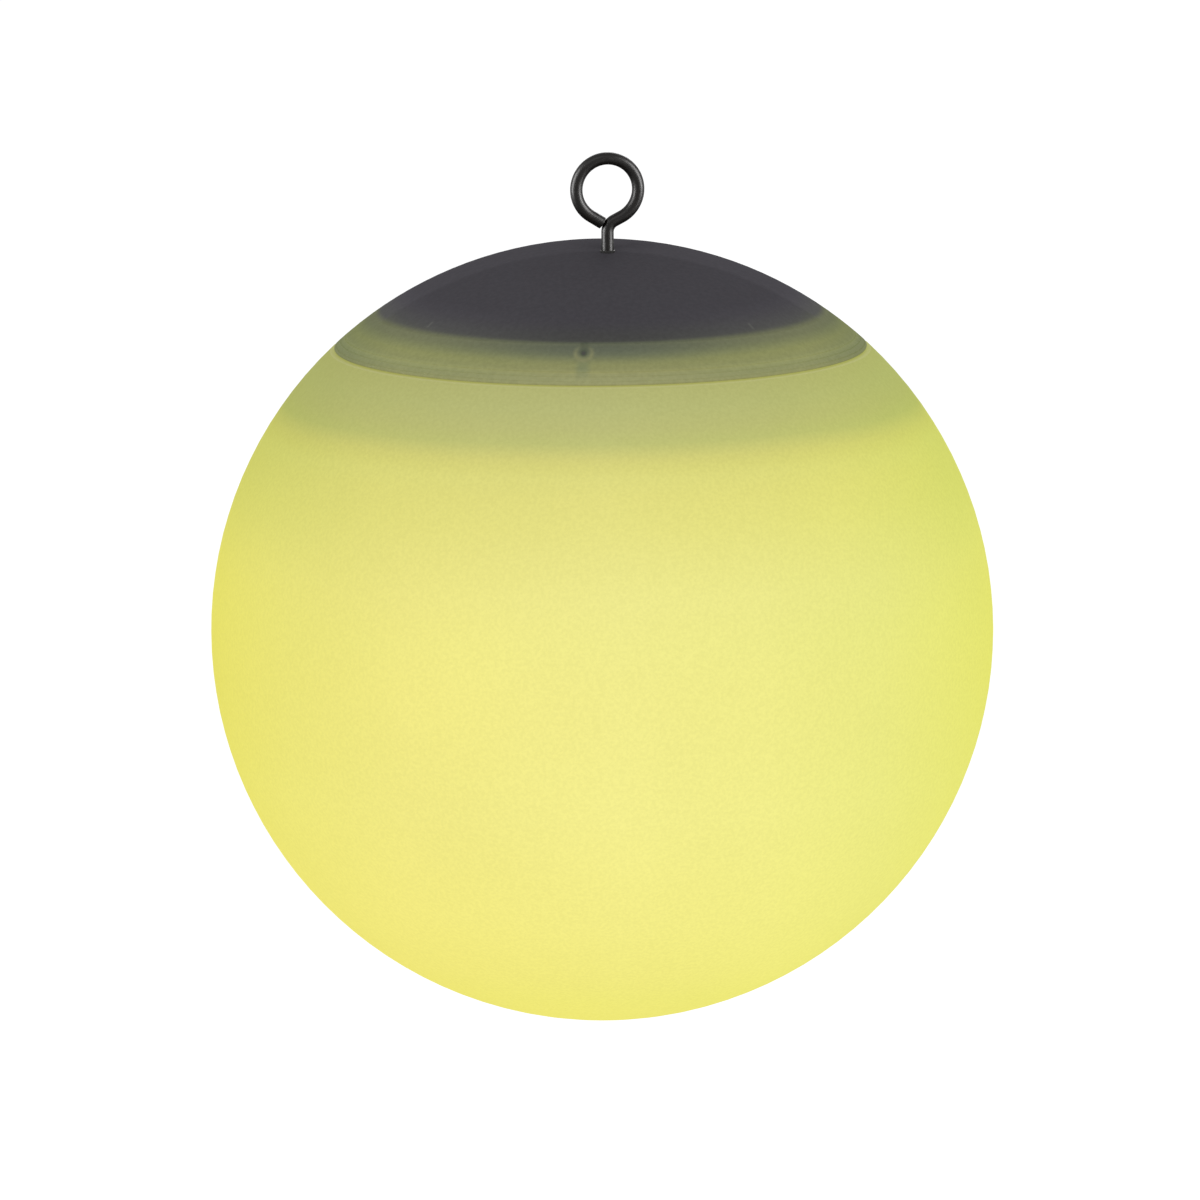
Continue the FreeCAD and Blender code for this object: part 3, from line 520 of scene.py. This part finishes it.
def frosted_plastic():
    """Frosted tray and light cover, with a painted glow and a lighter base colour, as painted
    light, where the lights are near.
    """
    near_glow = (0.62, 0.58, 0.30)
    far_glow = (0.06, 0.06, 0.04)
    lit_near_base = (0.36, 0.36, 0.30)
    far_base = (0.30, 0.30, 0.24)
    lights_r = 10 * mm
    tray_r = 80 * mm
    speck_strength = 0.03
    tree = Tree("frosted_plastic")
    right, back, _ = tree.axes()
    near = tree.rest(tree.smooth(tree.span(right, back), lights_r, tray_r))
    glow = tree.mix(near, far_glow, near_glow)
    tree.set(Base_Color=tree.mix(near, far_base, lit_near_base))
    tree.set(Emission_Color=tree.tinted(glow, tree.speckle(500.0, speck_strength)))
    tree.set(Emission_Strength=1.0, Roughness=0.5, Specular_IOR_Level=0.3)
    tree.bump(tree.noise(1100.0), 0.08, 0.3 * mm)
    return tree.material


def black_wire():
    """Bent rod with a thin brownish black finish."""
    tones = [(0.3, linear(11, 9, 7)), (0.55, linear(15, 12, 10)), (0.8, linear(24, 20, 17))]
    tree = Tree("black_wire")
    tree.set(Base_Color=tree.ramp(tree.noise(240.0, 4.0, 0.6), tones))
    tree.set(Roughness=tree.wander(500.0, 3.0, 0.36, 0.42))
    tree.set(Metallic=0.0, Specular_IOR_Level=0.16)
    tree.bump(tree.noise(900.0, 3.0), 0.03, 0.3 * mm)
    return tree.material


def plated_steel():
    tones = [(0.3, linear(150, 150, 148)), (0.7, linear(196, 196, 190))]
    tree = Tree("plated_steel")
    tree.set(Base_Color=tree.ramp(tree.noise(300.0, 3.0), tones), Metallic=1.0)
    tree.set(Roughness=tree.wander(700.0, 2.0, 0.22, 0.38))
    tree.bump(tree.noise(1500.0), 0.05, 0.2 * mm)
    return tree.material


def tinned_ribbon():
    tones = [(0.3, linear(176, 178, 180)), (0.7, linear(214, 215, 214))]
    tree = Tree("tinned_ribbon")
    tree.set(Base_Color=tree.ramp(tree.noise(800.0), tones), Metallic=0.9, Roughness=0.3)
    tree.bump(tree.noise(1800.0), 0.06, 0.2 * mm)
    return tree.material


def solar_cell():
    """Dark blue silicon with fine silver fingers across each strip."""
    finger_pitch = 2.2 * mm
    finger_share = 0.07
    finger_colour = linear(150, 156, 168)
    tones = [(0.0, linear(20, 28, 66)), (1.0, linear(34, 44, 92))]
    tree = Tree("solar_cell")
    right, _, _ = tree.axes()
    pitches = tree.math("DIVIDE", tree.plus(right, 1.0), finger_pitch)
    finger = tree.math("LESS_THAN", tree.math("FRACT", pitches), finger_share)
    crystal = tree.node("ShaderNodeTexVoronoi")
    tree.join(tree.coords, crystal.inputs["Vector"])
    crystal.inputs["Scale"].default_value = 260.0
    silicon = tree.ramp(crystal.outputs["Distance"], tones)
    tree.set(Base_Color=tree.mix(finger, silicon, finger_colour))
    tree.set(Roughness=0.22, Specular_IOR_Level=0.5, Coat_Weight=0.4, Coat_Roughness=0.08)
    tree.bump(finger, 0.2, 0.1 * mm)
    return tree.material


def clear_resin():
    tones = [(0.3, (0.86, 0.86, 0.82)), (0.7, (0.94, 0.94, 0.90))]
    tree = Tree("clear_resin")
    tree.set(Base_Color=tree.ramp(tree.noise(90.0), tones))
    tree.set(Roughness=0.08, Specular_IOR_Level=0.5, Alpha=tree.wander(60.0, 2.0, 0.10, 0.16))
    tree.bump(tree.noise(220.0, 1.0), 0.03, 0.3 * mm)
    return tree.material


def lit_led(name, colour):
    """A clear round light with its chip alight."""
    tree = Tree(name)
    lit = tree.tinted(colour, tree.wander(400.0, 1.0, 0.9, 1.05))
    tree.set(Base_Color=lit, Emission_Color=lit, Emission_Strength=0.9, Roughness=0.1)
    return tree.material


def green_laminate():
    """Circuit board with tracks under a green mask."""
    colours = {"Color1": (18, 74, 38), "Color2": (24, 88, 46), "Mortar": (58, 128, 72)}
    tree = Tree("green_laminate")
    brick = tree.node("ShaderNodeTexBrick")
    tree.join(tree.coords, brick.inputs["Vector"])
    brick.inputs["Scale"].default_value = 190.0
    brick.inputs["Mortar Size"].default_value = 0.06
    for name, colour in colours.items():
        brick.inputs[name].default_value = (*linear(*colour), 1.0)
    tree.set(Base_Color=brick.outputs["Color"], Roughness=0.35, Specular_IOR_Level=0.5)
    tree.bump(brick.outputs["Fac"], 0.15, 0.1 * mm)
    return tree.material


def battery_sleeve():
    """Plain shrink sleeve with bare metal at the ends."""
    sleeve_end = 1.2 * mm
    nub = 1.5 * mm
    sleeve_colour = linear(38, 104, 66)
    metal_colour = linear(190, 190, 186)
    tree = Tree("battery_sleeve")
    right, _, _ = tree.axes()
    low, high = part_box("battery")
    inner = tree.times(tree.math("GREATER_THAN", right, low[0] - axis_x + sleeve_end),
                       tree.math("LESS_THAN", right, high[0] - axis_x - nub - sleeve_end))
    colour = tree.mix(inner, metal_colour, sleeve_colour)
    tree.set(Base_Color=tree.tinted(colour, tree.wander(120.0, 2.0, 0.94, 1.04)))
    tree.set(Metallic=tree.rest(inner), Roughness=0.28)
    tree.bump(tree.noise(500.0, 1.0), 0.04, 0.2 * mm)
    return tree.material


def dress_all():
    dress(opal_plastic(), "globe")
    dress(smoky_plastic(), "lid")
    dress(black_wire(), "eye")
    dress(plated_steel(), "eye_nut", "eye_washer", "eye_lock_nut", "lid_screws", "bezel_screws",
          "case_screws", "board_screws", "led_board_screws", "battery_contacts",
          "battery_cover_screws", "switch_body")
    dress(plain_plastic("seal_rubber", (34, 33, 32), 0.62, 1400.0, 0.15, 0.3),
          "rim_seal", "eye_grommet", "case_seal", "battery_cover_seal")
    dress(plain_plastic("black_plastic", (38, 38, 40), 0.7, gloss=0.15),
          "solar_bezel", "board_parts", "switch_slider")
    dress(green_laminate(), "panel_board", "circuit_board", "led_board")
    dress(solar_cell(), "solar_cells")
    dress(tinned_ribbon(), "cell_ribbons", "led_pins")
    dress(clear_resin(), "panel_resin")
    dress(lit_led("white_light", (1.0, 0.94, 0.70)), "white_leds")
    dress(lit_led("colour_light", (0.86, 0.95, 0.30)), "colour_led")
    dress(frosted_plastic(), "head_base", "led_cover")
    dress(plain_plastic("white_plastic", (226, 226, 220), 0.4),
          "module_case", "battery_cradle", "battery_cover")
    dress(battery_sleeve(), "battery")
    dress(plain_plastic("lead_sleeve", (168, 34, 28), 0.4), "panel_leads", "battery_leads")


# Floor, world, lights and camera

def camera_seen(tree):
    """1 for rays that should meet a plain white surround: seen, in gloss or through clear."""
    rays = tree.nodes.new("ShaderNodeLightPath")
    total = rays.outputs["Is Camera Ray"]
    for name in ("Is Glossy Ray", "Is Transmission Ray"):
        made = tree.nodes.new("ShaderNodeMath")
        made.operation = "MAXIMUM"
        tree.links.new(total, made.inputs[0])
        tree.links.new(rays.outputs[name], made.inputs[1])
        total = made.outputs[0]
    return total


def mix_shaders(tree, factor, first, second):
    made = tree.nodes.new("ShaderNodeMixShader")
    for source, target in zip((factor, first, second), made.inputs):
        tree.links.new(source, target)
    return made.outputs[0]


def make_floor():
    """A wide pale floor well below the lamp, white to the camera but for the lamp's shadow.

    It isn't seen from underneath, so that the lamp's lower side can be looked at.
    """
    level = globe_low.z - floor_drop
    mesh = bpy.data.meshes.new("floor")
    corners = [(-floor_half, -floor_half, level), (floor_half, -floor_half, level),
               (floor_half, floor_half, level), (-floor_half, floor_half, level)]
    mesh.from_pydata(corners, [], [(0, 1, 2, 3)])
    floor = bpy.data.objects.new("floor", mesh)
    bpy.context.scene.collection.objects.link(floor)
    material = bpy.data.materials.new("floor")
    material.use_nodes = True
    tree = material.node_tree
    shader = tree.nodes["Principled BSDF"]
    shader.inputs["Base Color"].default_value = (floor_base, floor_base, floor_base, 1.0)
    shader.inputs["Roughness"].default_value = floor_roughness
    shader.inputs["Specular IOR Level"].default_value = floor_gloss
    glow = tree.nodes.new("ShaderNodeEmission")
    glow.inputs["Color"].default_value = (*white, 1.0)
    glow.inputs["Strength"].default_value = floor_glow
    share = tree.nodes.new("ShaderNodeMath")
    share.operation = "MULTIPLY"
    share.inputs[1].default_value = 1 - floor_shadow_share
    tree.links.new(camera_seen(tree), share.inputs[0])
    top = mix_shaders(tree, share.outputs[0], shader.outputs[0], glow.outputs[0])
    underside = tree.nodes.new("ShaderNodeNewGeometry").outputs["Backfacing"]
    clear = tree.nodes.new("ShaderNodeBsdfTransparent").outputs[0]
    tree.links.new(mix_shaders(tree, underside, top, clear),
                   tree.nodes["Material Output"].inputs["Surface"])
    mesh.materials.append(material)


def make_world():
    world = bpy.data.worlds.new("studio")
    bpy.context.scene.world = world
    world.use_nodes = True
    tree = world.node_tree
    background = tree.nodes["Background"]
    background.inputs["Color"].default_value = (*white, 1.0)
    strength = tree.nodes.new("ShaderNodeMapRange")
    strength.inputs["To Min"].default_value = world_strength
    strength.inputs["To Max"].default_value = 1.0
    tree.links.new(camera_seen(tree), strength.inputs["Value"])
    tree.links.new(strength.outputs["Result"], background.inputs["Strength"])


def direction(turn, elevation):
    """The way to a level turn from the lamp's front towards its right, and an elevation."""
    level = math.cos(elevation)
    return Vector((math.sin(turn) * level, -math.cos(turn) * level, math.sin(elevation)))


def area_light(name, turn, elevation, distance, width, height, share):
    """A soft light that faces the ball."""
    light = bpy.data.lights.new(name, "AREA")
    light.shape = "RECTANGLE"
    light.size = width
    light.size_y = height
    light.energy = share * (math.pi * distance) ** 2
    lamp = bpy.data.objects.new(name, light)
    bpy.context.scene.collection.objects.link(lamp)
    away = direction(camera_turn + math.radians(turn), math.radians(elevation))
    lamp.location = ball_middle + away * distance
    lamp.rotation_euler = (-away).to_track_quat("-Z", "Y").to_euler()
    return lamp


def make_lights():
    """Soft lights for everything, and two broad strips that shine in the eye's gloss alone."""
    for row in soft_lights:
        area_light(*row)
    shiny = bpy.data.collections.new("shiny")
    shiny.objects.link(nodes["eye"])
    for row in gloss_lights:
        strip = area_light(*row)
        strip.visible_diffuse = False
        strip.light_linking.receiver_collection = shiny


def make_camera():
    """Set at the photograph's angle: the ball's middle and size fall on the same pixels."""
    camera_data = bpy.data.cameras.new("camera")
    camera = bpy.data.objects.new("camera", camera_data)
    bpy.context.scene.collection.objects.link(camera)
    metres_per_pixel = ball_r / photo_ball_r
    camera_data.sensor_fit = "HORIZONTAL"
    camera_data.sensor_width = sensor
    camera_data.lens = sensor * camera_distance / (photo_size * metres_per_pixel)
    camera_data.clip_end = camera_reach
    towards = direction(camera_turn, camera_elevation)
    level = Vector((math.cos(camera_turn), math.sin(camera_turn), 0.0))
    plumb = towards.cross(level)
    up = plumb * math.cos(camera_roll) + level * math.sin(camera_roll)
    side = up.cross(towards)
    aim = ball_middle.copy()
    aim += up * (photo_ball_y - photo_size / 2) * metres_per_pixel
    aim -= side * (photo_ball_x - photo_size / 2) * metres_per_pixel
    camera.location = aim + towards * camera_distance
    camera.rotation_euler = Matrix((side, up, towards)).transposed().to_euler()
    bpy.context.scene.camera = camera


bpy.context.scene.view_settings.view_transform = "Standard"
dress_all()
make_floor()
make_world()
make_lights()
make_camera()
